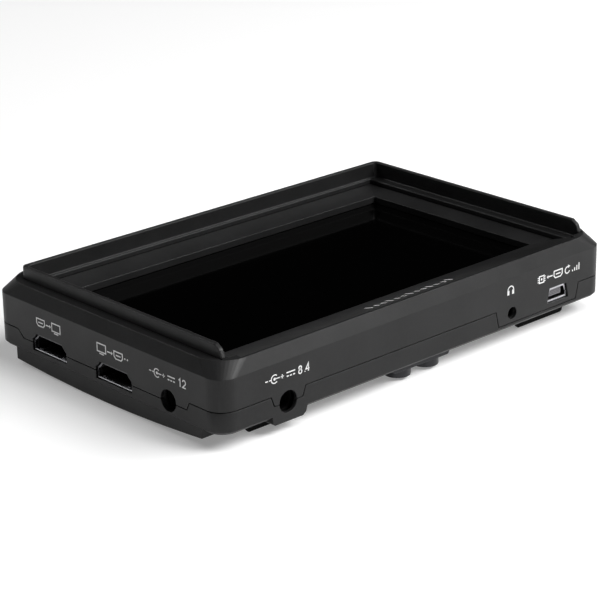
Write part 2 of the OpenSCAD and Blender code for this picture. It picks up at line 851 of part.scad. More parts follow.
module battery_latch() color("#c23a2e") {
    low = swell_z + 1.1;
    w = latch_w / 2;
    l = latch_l / 2;
    difference() {
        union() {
            box(-w, w, latch_y - l, latch_y + l, low, latch_top);
            box(-w - latch_rim, w + latch_rim, latch_y - l, latch_y + l,
                latch_top - latch_flange_t, latch_top);
        }
        for (i = [-1, 0, 1])
            box(1 - w, w - 1, latch_y + i * 1.6 - 0.3, latch_y + i * 1.6 + 0.3, low - 1, low + 0.3);
    }
}

module latch_spring() color("#b8bbbe") {
    translate([0, latch_y, latch_top + 0.05])
        difference() {
            cylinder(r = 1.7, h = spring_top - latch_top - 0.1);
            translate([0, 0, -1])
                cylinder(r = 1.3, h = case_t);
        }
}

boss_y = -half_d + boss_near;

module arm_mount() color("#2a2b2d") {
    chamfer = 1.1;
    difference() {
        union() {
            sweep_y(boss_y - boss_r - 0.5, boss_y + boss_r + 0.2)
                polygon([
                    [-mount_w / 2, back_z], [mount_w / 2, back_z],
                    [mount_w / 2 - chamfer, back_z - mount_t], [-mount_w / 2 + chamfer, back_z - mount_t]
                ]);
            for (s = [-1, 1])
                translate([s * boss_pitch / 2, boss_y, back_z - boss_drop]) {
                    cylinder(r = boss_r, h = boss_drop);
                    cylinder(r = boss_r - 0.8, h = boss_drop + 2.9);
                }
        }
        for (s = [-1, 1])
            translate([s * boss_pitch / 2, boss_y, back_z - boss_drop - 1])
                cylinder(r = thread_r, h = thread_l + 1);
    }
}

module foot(x0, x1, y, w) {
    edge = 0.6;
    intersection() {
        sweep_y(y - w / 2, y + w / 2)
            polygon([[x0, back_z], [x0 + 3, 0], [x1 - 1.6, 0], [x1, back_z]]);
        sweep_x(x0, x1)
            polygon([
                [y - w / 2, back_z], [y - w / 2, edge], [y - w / 2 + edge, 0],
                [y + w / 2 - edge, 0], [y + w / 2, edge], [y + w / 2, back_z]
            ]);
    }
}

module foot_pads() color("#1a1a1b") {
    near_w = 2.1;
    far_w = 3.6;
    foot_l = 23;
    near_y = -half_d + 7.05;
    far_y = half_d - back_far / 2;
    right_x = half_w - 33;
    difference() {
        foot(power_out_x - 11, power_out_x + 5.6, near_y, near_w);
        power_bump(-0.05);
    }
    foot(right_x, right_x + foot_l, near_y, near_w);
    foot(right_x, right_x + foot_l, far_y, far_w);
    mirror([1, 0, 0])
        foot(right_x, right_x + foot_l, far_y, far_w);
}

module case_screws() color("#8f9296") {
    for (x = [-case_screw_x, case_screw_x])
        for (y = case_screw_y)
            translate([x, y, case_screw_seat - screw_head_h])
                difference() {
                    union() {
                        cylinder(r = screw_head_r, h = screw_head_h);
                        cylinder(r = screw_r, h = screw_head_h + 6.5);
                    }
                    translate([0, 0, -1])
                        cylinder(r = 1.1, h = 2, $fn = 6);
                }
}

front_housing();
rear_cover();
cover_glass();
picture_panel();
panel_tray();
ribbon_cable();
main_board();
heat_spreader();
video_in_socket();
video_out_socket();
power_in_jack();
power_out_jack();
earphone_jack();
service_socket();
key_board();
status_light();
power_key();
menu_key();
exit_key();
left_key();
right_key();
source_key();
hood_frame();
battery_plate();
battery_terminals();
battery_latch();
latch_spring();
arm_mount();
foot_pads();
case_screws();
board_screws();
plate_screws();
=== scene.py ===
import json
import math

import bmesh
import bpy
from mathutils import Matrix, Vector


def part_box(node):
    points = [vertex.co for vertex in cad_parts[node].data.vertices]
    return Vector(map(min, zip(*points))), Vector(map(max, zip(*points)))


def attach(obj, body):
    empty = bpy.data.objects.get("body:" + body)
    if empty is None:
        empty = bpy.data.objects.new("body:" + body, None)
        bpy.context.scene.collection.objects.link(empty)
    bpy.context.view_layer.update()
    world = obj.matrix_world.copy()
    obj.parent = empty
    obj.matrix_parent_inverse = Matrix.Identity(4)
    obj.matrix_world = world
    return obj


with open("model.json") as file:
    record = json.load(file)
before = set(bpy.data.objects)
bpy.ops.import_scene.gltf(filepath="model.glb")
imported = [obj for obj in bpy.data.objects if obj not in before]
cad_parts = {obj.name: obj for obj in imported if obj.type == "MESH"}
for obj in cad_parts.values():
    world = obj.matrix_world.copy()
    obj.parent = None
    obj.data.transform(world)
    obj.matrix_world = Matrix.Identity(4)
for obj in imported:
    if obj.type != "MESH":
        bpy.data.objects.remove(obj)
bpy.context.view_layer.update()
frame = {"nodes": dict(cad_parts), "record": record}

NODES = frame["nodes"]
MM = 0.001


# The camera stands where the photograph was taken, on the long lens that its edges give

CAM_AT = Vector((-0.39748, -0.42946, 0.23106))
CAM_RIGHT = Vector((0.7323, -0.6808, -0.0149)).normalized()
CAM_BACK = -Vector((0.6329, 0.6885, -0.3541)).normalized()
CAM_UP = CAM_BACK.cross(CAM_RIGHT).normalized()
CAM_RIGHT = CAM_UP.cross(CAM_BACK)
LENS_MM = 129.61
SENSOR_MM = 36.0

camera_data = bpy.data.cameras.new("camera")
camera_data.sensor_fit = "HORIZONTAL"
camera_data.sensor_width = SENSOR_MM
camera_data.lens = LENS_MM
camera_data.clip_start = 0.01
camera_data.clip_end = 50.0
camera = bpy.data.objects.new("camera", camera_data)
bpy.context.scene.collection.objects.link(camera)
turn = Matrix((CAM_RIGHT, CAM_UP, CAM_BACK)).transposed().to_4x4()
camera.matrix_world = Matrix.Translation(CAM_AT) @ turn
bpy.context.scene.camera = camera
bpy.context.scene.view_settings.view_transform = "Standard"


# Shader helpers

class Tree:
    """A small helper that adds shader nodes and wires them."""

    def __init__(self, tree):
        self.tree = tree

    def add(self, kind, inputs=None, **settings):
        made = self.tree.nodes.new(kind)
        for key, value in settings.items():
            setattr(made, key, value)
        for key, value in (inputs or {}).items():
            socket = made.inputs[key]
            if isinstance(value, bpy.types.NodeSocket):
                self.tree.links.new(value, socket)
            else:
                socket.default_value = value
        return made

    def mix(self, factor, low, high):
        made = self.add("ShaderNodeMix", data_type="RGBA")
        for index, value in ((0, factor), (6, low), (7, high)):
            if isinstance(value, bpy.types.NodeSocket):
                self.tree.links.new(value, made.inputs[index])
            else:
                made.inputs[index].default_value = value
        return made.outputs[2]

    def ramp(self, value, low, high, to_low=0.0, to_high=1.0):
        return self.add("ShaderNodeMapRange", {
            "Value": value, "From Min": low, "From Max": high,
            "To Min": to_low, "To Max": to_high}).outputs[0]

    def math(self, operation, a, b=0.0):
        return self.add("ShaderNodeMath", {0: a, 1: b}, operation=operation).outputs[0]

    def noise(self, vector, scale, detail=2.0, roughness=0.5, seed=0.0):
        return self.add("ShaderNodeTexNoise", {
            "Vector": vector, "Scale": scale, "Detail": detail,
            "Roughness": roughness, "W": seed}, noise_dimensions="4D").outputs["Fac"]


def new_material(name):
    made = bpy.data.materials.new(name)
    made.use_nodes = True
    tree = made.node_tree
    tree.nodes.clear()
    t = Tree(tree)
    shader = t.add("ShaderNodeBsdfPrincipled")
    t.add("ShaderNodeOutputMaterial", {"Surface": shader.outputs[0]})
    place = t.add("ShaderNodeTexCoord").outputs["Object"]
    return made, t, shader, place


def link(t, source, shader, name):
    t.tree.links.new(source, shader.inputs[name])


def rgb(value, tint=(1.0, 1.0, 1.0)):
    return (value * tint[0], value * tint[1], value * tint[2], 1.0)


def moulded(name, base, rough, grain=0.00032, depth=0.00001, vary=0.25, tint=(1.0, 1.0, 1.02),
            worn=0.012, specular=0.28, seed=0.0):
    """Moulded plastic: a fine spark-eroded grain, slow changes of tone, and paler worn edges."""
    made, t, shader, place = new_material(name)
    cloud = t.noise(place, 60.0, 3.0, 0.55, seed)
    speck = t.noise(place, 1.0 / 0.0009, 2.0, 0.6, seed + 3.0)
    tone = t.mix(t.ramp(cloud, 0.3, 0.7), rgb(base * (1 - vary), tint), rgb(base * (1 + vary), tint))
    tone = t.mix(t.ramp(speck, 0.45, 0.75, 0.0, 0.35), tone, rgb(base * 1.6, tint))
    rounded = t.add("ShaderNodeBevel", {"Radius": 0.00025}, samples=4).outputs[0]
    true = t.add("ShaderNodeNewGeometry").outputs["Normal"]
    facing = t.add("ShaderNodeVectorMath", {0: rounded, 1: true}, operation="DOT_PRODUCT").outputs["Value"]
    edge = t.ramp(facing, 0.995, 0.93)
    rub = t.math("MULTIPLY", edge, t.ramp(t.noise(place, 420.0, 3.0, 0.6, seed + 5.0), 0.3, 0.62, 0.25, 1.0))
    tone = t.mix(rub, tone, rgb(base + worn, tint))
    link(t, tone, shader, "Base Color")
    spread = t.ramp(t.noise(place, 130.0, 4.0, 0.6, seed + 8.0), 0.25, 0.75, rough - 0.05, rough + 0.06)
    link(t, t.math("SUBTRACT", spread, t.math("MULTIPLY", rub, 0.1)), shader, "Roughness")
    shader.inputs["Specular IOR Level"].default_value = specular
    relief = t.add("ShaderNodeTexVoronoi", {"Vector": place, "Scale": 1.0 / grain},
                   feature="SMOOTH_F1").outputs["Distance"]
    bump = t.add("ShaderNodeBump", {"Strength": 0.35, "Distance": depth, "Height": relief,
                                    "Normal": rounded})
    link(t, bump.outputs[0], shader, "Normal")
    return made


def metal(name, colour, rough, streak=(1.0, 1.0, 12.0), seed=0.0):
    """Plated or rolled metal with fine drawn streaks and small stains."""
    made, t, shader, place = new_material(name)
    along = t.add("ShaderNodeMapping", {"Vector": place, "Scale": streak}).outputs[0]
    lines = t.noise(along, 900.0, 3.0, 0.6, seed)
    stain = t.noise(place, 250.0, 3.0, 0.6, seed + 2.0)
    tone = t.mix(t.ramp(stain, 0.35, 0.7), rgb(0.82, colour), rgb(1.05, colour))
    tone = t.mix(t.ramp(lines, 0.3, 0.7, 0.0, 0.5), tone, rgb(0.72, colour))
    link(t, tone, shader, "Base Color")
    link(t, t.ramp(lines, 0.25, 0.75, rough - 0.08, rough + 0.12), shader, "Roughness")
    shader.inputs["Metallic"].default_value = 1.0
    bump = t.add("ShaderNodeBump", {"Strength": 0.2, "Distance": 0.00001, "Height": lines})
    link(t, bump.outputs[0], shader, "Normal")
    return made


def coated(name, base, rough, tint=(1.0, 1.0, 1.0), grain=300.0, depth=0.00001, seed=0.0, speck=0.3,
           specular=0.5):
    """Lacquer, print, film or rubber: an even coat with small mottles."""
    made, t, shader, place = new_material(name)
    mottle = t.noise(place, grain, 4.0, 0.6, seed)
    fine = t.noise(place, grain * 9.0, 2.0, 0.5, seed + 4.0)
    dark = rgb(base * (1 - speck), tint)
    pale = rgb(base * (1 + speck * 0.5), tint)
    tone = t.mix(t.ramp(mottle, 0.3, 0.7), dark, pale)
    link(t, tone, shader, "Base Color")
    link(t, t.ramp(fine, 0.3, 0.7, rough - 0.06, rough + 0.08), shader, "Roughness")
    shader.inputs["Specular IOR Level"].default_value = specular
    bump = t.add("ShaderNodeBump", {"Strength": 0.3, "Distance": depth, "Height": fine})
    link(t, bump.outputs[0], shader, "Normal")
    return made


def glass_sheet():
    """Dark cover glass with a coat against reflections, a trace of wiping marks and dust."""
    made, t, shader, place = new_material("screen_black")
    wipe = t.add("ShaderNodeMapping", {"Vector": place, "Rotation": (0.0, 0.0, 0.5),
                                       "Scale": (1.0, 7.0, 1.0)}).outputs[0]
    smear = t.noise(wipe, 35.0, 4.0, 0.6, 2.0)
    dust = t.noise(place, 5200.0, 1.0, 0.5, 3.0)
    tone = t.mix(t.ramp(dust, 0.74, 0.8, 0.0, 0.3), rgb(0.0003), rgb(0.002))
    link(t, tone, shader, "Base Color")
    link(t, t.ramp(smear, 0.3, 0.8, 0.05, 0.1), shader, "Roughness")
    shader.inputs["Specular IOR Level"].default_value = 0.04
    return made


case_black = moulded("case_black", 0.011, 0.44, seed=1.0)
back_black = moulded("back_black", 0.0105, 0.48, seed=9.0)
hood_black = moulded("hood_black", 0.0105, 0.44, seed=4.0)
key_black = moulded("key_black", 0.013, 0.5, grain=0.00025, seed=6.0)
plate_black = moulded("plate_black", 0.01, 0.5, seed=7.0)
latch_grey = moulded("latch_grey", 0.03, 0.48, seed=8.0)
jack_black = coated("jack_black", 0.004, 0.4, seed=2.0, grain=700.0)
# Black used two ways: as painted shade for the socket linings and tongue slots, and as the jacks' own black
# plastic rims
black_plastic_and_painted_shade = coated("black_plastic_and_painted_shade", 0.003, 0.5, seed=12.0, grain=900.0, specular=0.25)
rubber_black = coated("rubber_black", 0.0035, 0.8, seed=3.0, grain=500.0, depth=0.00003, specular=0.15)
panel_black = coated("panel_black", 0.002, 0.25, seed=5.0)
board_green = coated("board_green", 0.05, 0.35, tint=(0.2, 1.0, 0.5), seed=6.0)
ribbon_amber = coated("ribbon_amber", 0.2, 0.4, tint=(1.0, 0.55, 0.15), seed=7.0)
pipe_clear = coated("pipe_clear", 0.5, 0.15, tint=(0.85, 0.95, 1.0), seed=8.0, speck=0.1)
print_white = coated("print_white", 0.78, 0.45, seed=10.0, grain=1500.0, speck=0.12)
tongue_grey = coated("tongue_grey", 0.16, 0.4, tint=(1.0, 0.97, 1.05), seed=11.0, grain=900.0)
label_grey = coated("label_grey", 0.05, 0.3, tint=(0.97, 1.0, 1.03), seed=13.0, grain=200.0)
mount_black = metal("mount_black", (0.05, 0.05, 0.053), 0.45, seed=3.0)
steel = metal("steel", (0.5, 0.5, 0.52), 0.3, seed=1.0)
nickel = metal("nickel", (0.62, 0.62, 0.65), 0.25, seed=2.0)
shell_metal = metal("shell_metal", (0.16, 0.16, 0.17), 0.35, seed=6.0)
gold = metal("gold", (0.85, 0.6, 0.25), 0.28, seed=5.0)
dark_steel = metal("dark_steel", (0.1, 0.1, 0.105), 0.35, seed=4.0)

FINISH = {
    "front_housing": case_black, "rear_cover": back_black, "hood_frame": hood_black,
    "cover_glass": glass_sheet(), "picture_panel": panel_black, "panel_tray": steel,
    "ribbon_cable": ribbon_amber, "main_board": board_green, "heat_spreader": steel,
    "video_in_socket": shell_metal, "video_out_socket": shell_metal, "service_socket": nickel,
    "power_in_jack": jack_black, "power_out_jack": jack_black, "earphone_jack": jack_black,
    "key_board": board_green, "status_light": pipe_clear,
    "battery_plate": plate_black, "battery_terminals": plate_black, "battery_latch": latch_grey,
    "latch_spring": steel, "arm_mount": mount_black, "foot_pads": rubber_black,
    "case_screws": dark_steel, "board_screws": dark_steel, "plate_screws": dark_steel,
}
for name, made in NODES.items():
    made.data.materials.clear()
    made.data.materials.append(FINISH.get(name, key_black))

# Moulded parts get real rounded edges: the mesh is welded, its flat facets are joined, and its edges rounded
EDGE_RADIUS = {
    "hood_frame": 0.35, "front_housing": 0.3, "rear_cover": 0.25, "battery_plate": 0.2,
    "battery_latch": 0.25, "battery_terminals": 0.15, "foot_pads": 0.3, "arm_mount": 0.2,
    "power_key": 0.4, "menu_key": 0.4, "exit_key": 0.4, "left_key": 0.4, "right_key": 0.4, "source_key": 0.4,
}


def round_edges(node, radius):
    weld = node.modifiers.new("weld", "WELD")
    weld.merge_threshold = 1e-6
    flats = node.modifiers.new("flats", "DECIMATE")
    flats.decimate_type = "DISSOLVE"
    flats.angle_limit = math.radians(1.0)
    edges = node.modifiers.new("edges", "BEVEL")
    edges.width = radius * MM
    edges.segments = 2
    edges.limit_method = "ANGLE"
    edges.angle_limit = math.radians(28.0)
    edges.use_clamp_overlap = True
    edges.miter_outer = "MITER_ARC"
    edges.harden_normals = False


for name, radius in EDGE_RADIUS.items():
    round_edges(NODES[name], radius)


# Pieces: every piece is a mesh in metres, made here from sizes in millimetres

def piece(name, bm, material, body):
    bmesh.ops.remove_doubles(bm, verts=bm.verts[:], dist=1e-7)
    bmesh.ops.recalc_face_normals(bm, faces=bm.faces[:])
    mesh = bpy.data.meshes.new(name)
    bm.to_mesh(mesh)
    bm.free()
    mesh.materials.append(material)
    made = bpy.data.objects.new(name, mesh)
    bpy.context.scene.collection.objects.link(made)
    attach(made, body)
    return made


def slab(bm, outline, low, high, holes=()):
    """A solid between two copies of a closed outline: outline points are taken at low and at high."""
    rims = []
    for points in (outline,) + tuple(holes):
        below = [bm.verts.new(low(p)) for p in points]
        above = [bm.verts.new(high(p)) for p in points]
        count = len(points)
        for i in range(count):
            j = (i + 1) % count
            bm.faces.new((below[i], below[j], above[j], above[i]))
        rims.append((below, above))
    for side in (0, 1):
        if not holes:
            bm.faces.new(rims[0][side])
            continue
        outer, inner = rims[0][side], rims[1][side]
        count = len(outer)
        for i in range(count):
            j = (i + 1) % count
            bm.faces.new((outer[i], outer[j], inner[j], inner[i]))


class Face:
    """A flat side of the object, with its own right and up directions, to draw marks on."""

    def __init__(self, origin, right, up):
        self.origin = Vector(origin)
        self.right = Vector(right).normalized()
        self.up = Vector(up).normalized()
        self.out = self.right.cross(self.up)

    def at(self, u, v, lift):
        return (self.origin + self.right * u + self.up * v + self.out * lift) * MM

    def flat(self, bm, outline, lift, sunk, hole=None):
        """A flat mark with the outline, from sunk below the face to lift above it."""
        slab(bm, outline, lambda p: self.at(p[0], p[1], -sunk), lambda p: self.at(p[0], p[1], lift),
             (hole,) if hole else ())


PRINT_LIFT = 0.02
PRINT_SUNK = 0.05
STROKE = 0.36


def offset_line(points, width, closed):
    """The two sides of a stroke along a line of points, with mitred bends."""
    count = len(points)
    left, right = [], []
    for i, p in enumerate(points):
        before = points[i - 1] if (i > 0 or closed) else None
        after = points[(i + 1) % count] if (i < count - 1 or closed) else None
        ways = []
        if before is not None:
            ways.append(Vector((p[0] - before[0], p[1] - before[1])).normalized())
        if after is not None:
            ways.append(Vector((after[0] - p[0], after[1] - p[1])).normalized())
        way = sum(ways, Vector((0.0, 0.0))).normalized()
        across = Vector((-way.y, way.x))
        reach = width / 2 / max(0.4, abs(across.dot(Vector((-ways[0].y, ways[0].x)))))
        left.append((p[0] + across.x * reach, p[1] + across.y * reach))
        right.append((p[0] - across.x * reach, p[1] - across.y * reach))
    return left, right


def draw(bm, face, points, width=STROKE, closed=False, lift=PRINT_LIFT):
    left, right = offset_line(points, width, closed)
    if closed:
        face.flat(bm, left, lift, PRINT_SUNK, right)
    else:
        face.flat(bm, left + right[::-1], lift, PRINT_SUNK)


def arc(cx, cy, radius, start=0.0, end=360.0, steps=24):
    """Points on a circle; a full circle leaves out its last point."""
    whole = abs(end - start) >= 360.0
    count = steps if whole else steps + 1
    return [(cx + radius * math.cos(math.radians(start + (end - start) * i / steps)),
             cy + radius * math.sin(math.radians(start + (end - start) * i / steps))) for i in range(count)]


def rect(cx, cy, w, h):
    return [(cx - w / 2, cy - h / 2), (cx + w / 2, cy - h / 2),
            (cx + w / 2, cy + h / 2), (cx - w / 2, cy + h / 2)]


# Generic marks, each drawn round its own middle in millimetres

def arrow(bm, face, u, v, length, way=1.0):
    head = 0.7
    draw(bm, face, [(u - way * length / 2, v), (u + way * (length / 2 - head * 0.8), v)])
    face.flat(bm, [(u + way * length / 2, v), (u + way * (length / 2 - head), v + head * 0.75),
                   (u + way * (length / 2 - head), v - head * 0.75)], PRINT_LIFT, PRINT_SUNK)


def screen_icon(bm, face, u, v, w=3.7, h=2.3):
    draw(bm, face, rect(u, v + 0.25, w, h), closed=True)
    draw(bm, face, [(u - w * 0.26, v - h * 0.5 - 0.3), (u + w * 0.26, v - h * 0.5 - 0.3)])


def plug_icon(bm, face, u, v, w=3.6, h=2.1):
    cut = 0.65
    draw(bm, face, [(u - w / 2, v + h / 2), (u + w / 2, v + h / 2), (u + w / 2, v - h / 2 + cut),
                    (u + w / 2 - cut, v - h / 2), (u - w / 2 + cut, v - h / 2), (u - w / 2, v - h / 2 + cut)],
         closed=True)
    draw(bm, face, [(u - w * 0.28, v), (u + w * 0.28, v)])


def direct_current(bm, face, u, v):
    """A long line over three short ones."""
    draw(bm, face, [(u - 1.5, v + 0.5), (u + 1.5, v + 0.5)])
    for i in (-1, 0, 1):
        draw(bm, face, [(u + i * 1.1 - 0.35, v - 0.5), (u + i * 1.1 + 0.35, v - 0.5)])


POLARITY_STROKE = 0.3


def polarity(bm, face, u, v):
    """A dot in a broken ring between a minus and a plus."""
    face.flat(bm, arc(u, v, 0.42, steps=16), PRINT_LIFT, PRINT_SUNK)
    draw(bm, face, arc(u, v, 1.15, 45.0, 315.0, 20), POLARITY_STROKE)
    draw(bm, face, [(u + 0.3, v), (u + 1.8, v)], POLARITY_STROKE)
    draw(bm, face, [(u - 1.3, v), (u - 1.9, v)], POLARITY_STROKE)
    draw(bm, face, [(u + 2.15, v), (u + 3.25, v)], POLARITY_STROKE)
    draw(bm, face, [(u + 2.7, v - 0.55), (u + 2.7, v + 0.55)], POLARITY_STROKE)
    draw(bm, face, [(u - 3.2, v), (u - 2.3, v)], POLARITY_STROKE)


DIGIT_W = 1.25
DIGIT_H = 2.2


def digit(bm, face, u, v, sign):
    """A plain number, drawn in strokes round its middle."""
    w, h = DIGIT_W / 2, DIGIT_H / 2
    if sign == "1":
        draw(bm, face, [(u - w * 0.7, v + h * 0.55), (u + w * 0.1, v + h), (u + w * 0.1, v - h)])
    elif sign == "2":
        draw(bm, face, [(u - w, v + h * 0.55), (u - w * 0.55, v + h * 0.95), (u + w * 0.35, v + h * 0.98),
                        (u + w * 0.95, v + h * 0.6), (u + w * 0.8, v + h * 0.1), (u - w, v - h + 0.12),
                        (u + w, v - h + 0.12)])
    elif sign == "8":
        draw(bm, face, arc(u, v + h * 0.5, h * 0.42, steps=16), closed=True)
        draw(bm, face, arc(u, v - h * 0.46, h * 0.5, steps=16), closed=True)
    elif sign == "4":
        draw(bm, face, [(u + w * 0.45, v - h), (u + w * 0.45, v + h),
                        (u - w, v - h * 0.35), (u + w, v - h * 0.35)])
    elif sign == ".":
        face.flat(bm, rect(u, v - h + 0.15, 0.32, 0.32), PRINT_LIFT, PRINT_SUNK)


def number(bm, face, u, v, signs):
    for sign in signs:
        digit(bm, face, u, v, sign)
        u += 0.95 if sign == "." else 1.65


def headphones(bm, face, u, v):
    draw(bm, face, arc(u, v, 1.2, -10.0, 190.0, 18), 0.34)
    for side in (-1, 1):
        face.flat(bm, rect(u + side * 1.0, v - 0.65, 0.85, 1.35), PRINT_LIFT, PRINT_SUNK)


def chip_icon(bm, face, u, v):
    draw(bm, face, rect(u, v, 2.0, 2.0), closed=True)
    face.flat(bm, rect(u, v, 0.6, 0.6), PRINT_LIFT, PRINT_SUNK)
    for i in (-1, 0, 1):
        for side in (-1, 1):
            draw(bm, face, [(u + side * 1.18, v + i * 0.65), (u + side * 1.7, v + i * 0.65)], 0.26)


def turn_icon(bm, face, u, v):
    """A ring with an arrow head: bring up to date."""
    draw(bm, face, arc(u, v, 1.0, 65.0, 340.0, 20))
    face.flat(bm, [(u + 0.2, v + 0.5), (u + 0.25, v + 1.55), (u + 1.2, v + 1.0)], PRINT_LIFT, PRINT_SUNK)


case_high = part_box("front_housing")[1]
CASE_X = case_high.x / MM
CASE_Y = case_high.y / MM
TOP_Z = case_high.z / MM
PORT_Z = (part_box("video_in_socket")[0].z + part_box("video_in_socket")[1].z) / 2 / MM


def middle(node):
    low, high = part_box(node)
    return (low + high) / 2 / MM


VIDEO_IN_Y = middle("video_in_socket").y
VIDEO_OUT_Y = middle("video_out_socket").y
POWER_IN = middle("power_in_jack")
POWER_OUT = middle("power_out_jack")
EARPHONE = middle("earphone_jack")
SERVICE = middle("service_socket")

LEFT = Face((-CASE_X, 0.0, 0.0), (0.0, -1.0, 0.0), (0.0, 0.0, 1.0))
NEAR = Face((0.0, -CASE_Y, 0.0), (1.0, 0.0, 0.0), (0.0, 0.0, 1.0))


def print_piece(name, drawing):
    bm = bmesh.new()
    drawing(bm)
    return piece(name, bm, print_white, "housing")


# Marks over the ports, at the height of those in the photograph
SIDE_MARK_Z = TOP_Z - 8.1
NEAR_MARK_Z = TOP_Z - 7.9


def video_in_marks(bm):
    u = -VIDEO_IN_Y
    plug_icon(bm, LEFT, u - 3.4, SIDE_MARK_Z)
    arrow(bm, LEFT, u + 0.2, SIDE_MARK_Z, 2.4)
    screen_icon(bm, LEFT, u + 3.6, SIDE_MARK_Z)


def video_out_marks(bm):
    u = -VIDEO_OUT_Y - 1.2
    screen_icon(bm, LEFT, u - 3.5, SIDE_MARK_Z)
    arrow(bm, LEFT, u + 0.2, SIDE_MARK_Z, 2.4)
    plug_icon(bm, LEFT, u + 3.7, SIDE_MARK_Z)
    for i in range(2):
        LEFT.flat(bm, arc(u + 6.5 + i * 1.1, SIDE_MARK_Z, 0.28, steps=12), PRINT_LIFT, PRINT_SUNK)


def power_in_marks(bm):
    u = -POWER_IN.y
    polarity(bm, LEFT, u - 4.3, SIDE_MARK_Z)
    direct_current(bm, LEFT, u + 1.5, SIDE_MARK_Z)
    number(bm, LEFT, u + 5.0, SIDE_MARK_Z, "12")


def power_out_marks(bm):
    u = POWER_OUT.x
    polarity(bm, NEAR, u - 4.6, NEAR_MARK_Z)
    direct_current(bm, NEAR, u + 1.1, NEAR_MARK_Z)
    number(bm, NEAR, u + 4.4, NEAR_MARK_Z, "8.4")


def service_marks(bm):
    u = SERVICE.x
    v = NEAR_MARK_Z + 0.2
    chip_icon(bm, NEAR, u - 7.4, v)
    arrow(bm, NEAR, u - 3.9, v, 2.6, -1.0)
    plug_icon(bm, NEAR, u - 0.2, v)
    turn_icon(bm, NEAR, u + 3.9, v)
    for i in range(4):
        at = u + 6.2 + i * 0.95
        draw(bm, NEAR, [(at, v - 1.05), (at, v - 0.5 + 0.5 * i)], 0.4)


print_piece("video_in_marks", video_in_marks)
print_piece("video_out_marks", video_out_marks)
print_piece("power_in_marks", power_in_marks)
print_piece("power_out_marks", power_out_marks)
print_piece("service_marks", service_marks)
print_piece("earphone_mark", lambda bm: headphones(bm, NEAR, EARPHONE.x - 0.8, NEAR_MARK_Z + 0.4))

# The sloping strip below the screen carries a plain scale, centred on the screen
STRIP_NEAR_Y = -CASE_Y + 2.7
STRIP_FALL = 4.0
# The glass reaches this far under the frame on each side
GLASS_LAP = 3.0
WINDOW_NEAR_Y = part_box("cover_glass")[0].y / MM + GLASS_LAP
strip_run = WINDOW_NEAR_Y - STRIP_NEAR_Y
STRIP = Face((0.0, STRIP_NEAR_Y, TOP_Z), (1.0, 0.0, 0.0), (0.0, strip_run, -STRIP_FALL))
SCALE_STEP = 2.6
SCALE_COUNT = 6
TICK_SHORT = 2.2
TICK_TALL = 3.2
TICK_WIDTH = 0.6


def strip_marks(bm):
    base = math.hypot(strip_run, STRIP_FALL) * 0.22
    for i in range(-SCALE_COUNT, SCALE_COUNT + 1):
        tall = TICK_TALL if i % 3 == 0 else TICK_SHORT
        draw(bm, STRIP, [(i * SCALE_STEP, base), (i * SCALE_STEP, base + tall)], TICK_WIDTH)


print_piece("strip_scale", strip_marks)


# Video sockets

VIDEO_FACE_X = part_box("video_in_socket")[0].x / MM
VIDEO_W = (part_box("video_in_socket")[1].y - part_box("video_in_socket")[0].y) / MM
VIDEO_H = (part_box("video_in_socket")[1].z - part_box("video_in_socket")[0].z) / MM
SHELL_T = 0.35
TONGUE_FROM = 4.7
TONGUE_HALF = 5.6
TONGUE_T = 0.5
VIDEO_DEPTH = 10.0


def video_outline(grow):
    """The D shape of the socket as points of Y and Z round its middle."""
    w = VIDEO_W / 2 + grow
    h = VIDEO_H / 2 + grow
    step = 1.9
    return [(-w, -h), (w, -h), (w, h - step), (w - step * 0.7, h - step * 0.45), (w - step, h),
            (-w + step, h), (-w + step * 0.7, h - step * 0.45), (-w, h - step)]


def block(bm, x0, x1, y0, y1, z0, z1, edge=0.0):
    """A box with chamfered edges along its long side."""
    e = edge
    ring = [(y0 + e, z0), (y1 - e, z0), (y1, z0 + e), (y1, z1 - e), (y1 - e, z1), (y0 + e, z1), (y0, z1 - e),
            (y0, z0 + e)] if e else [(y0, z0), (y1, z0), (y1, z1), (y0, z1)]
    slab(bm, ring, lambda p: Vector((x0, p[0], p[1])) * MM, lambda p: Vector((x1, p[0], p[1])) * MM)


